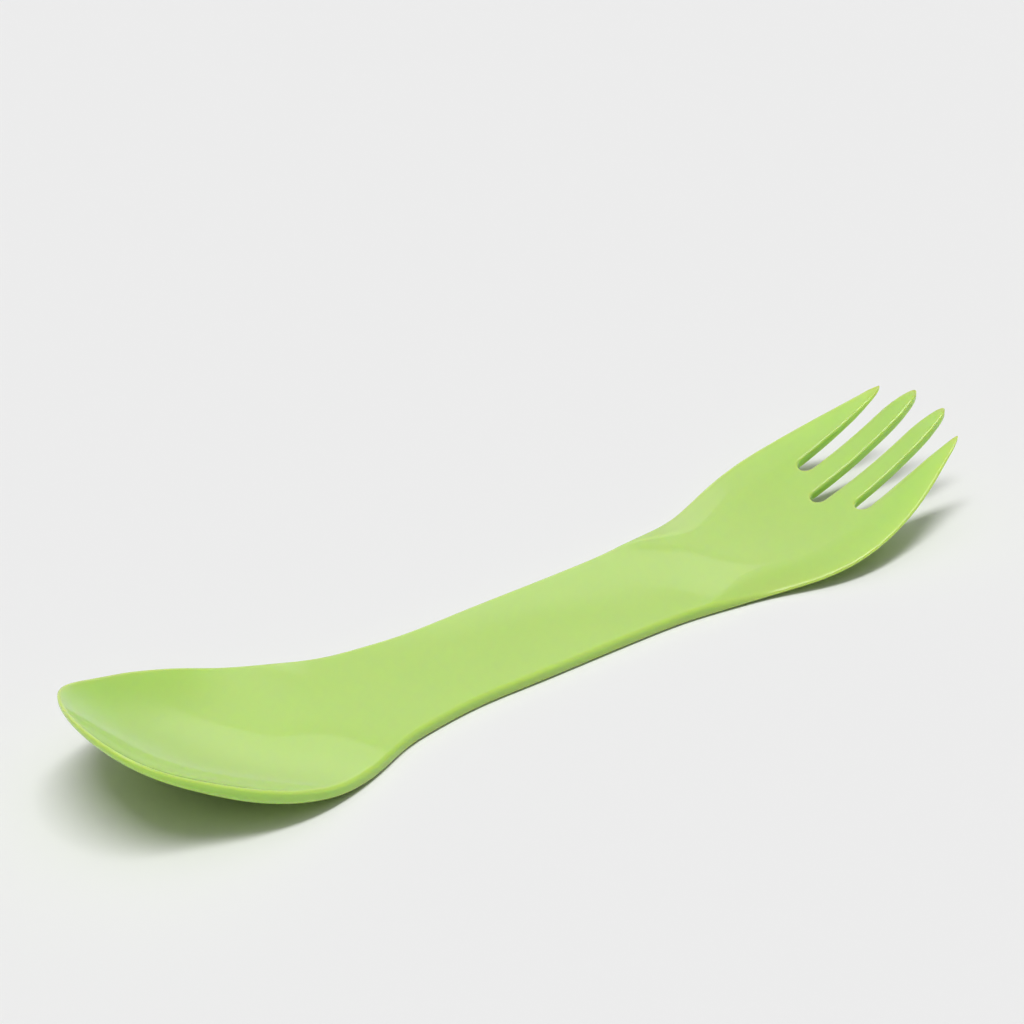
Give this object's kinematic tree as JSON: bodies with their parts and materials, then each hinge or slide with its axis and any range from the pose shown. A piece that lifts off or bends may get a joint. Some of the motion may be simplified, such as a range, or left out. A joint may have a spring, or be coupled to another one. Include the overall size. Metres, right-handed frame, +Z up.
{
  "type": "spork",
  "caption": "Double-ended plastic spork: a spoon bowl and a tined fork head joined by a flat handle, both ends curving up, in plain lime green.",
  "frame": {"origin": "centre of the overall box, on the flat underside of the handle", "axes": "+X from the spoon tip to the fork tips, +Z up out of the hollow side, +Y across toward the far tines"},
  "size_m": [0.1686, 0.0394, 0.0187],
  "materials": {
    "lime_plastic": "smooth moulded plastic with a soft satin gloss"
  },
  "bodies": {
    "root": {"spoon_bowl": "lime_plastic", "handle": "lime_plastic", "fork_palm": "lime_plastic", "far_outer_tine": "lime_plastic", "far_inner_tine": "lime_plastic", "near_inner_tine": "lime_plastic", "near_outer_tine": "lime_plastic"}
  },
  "joints": []
}
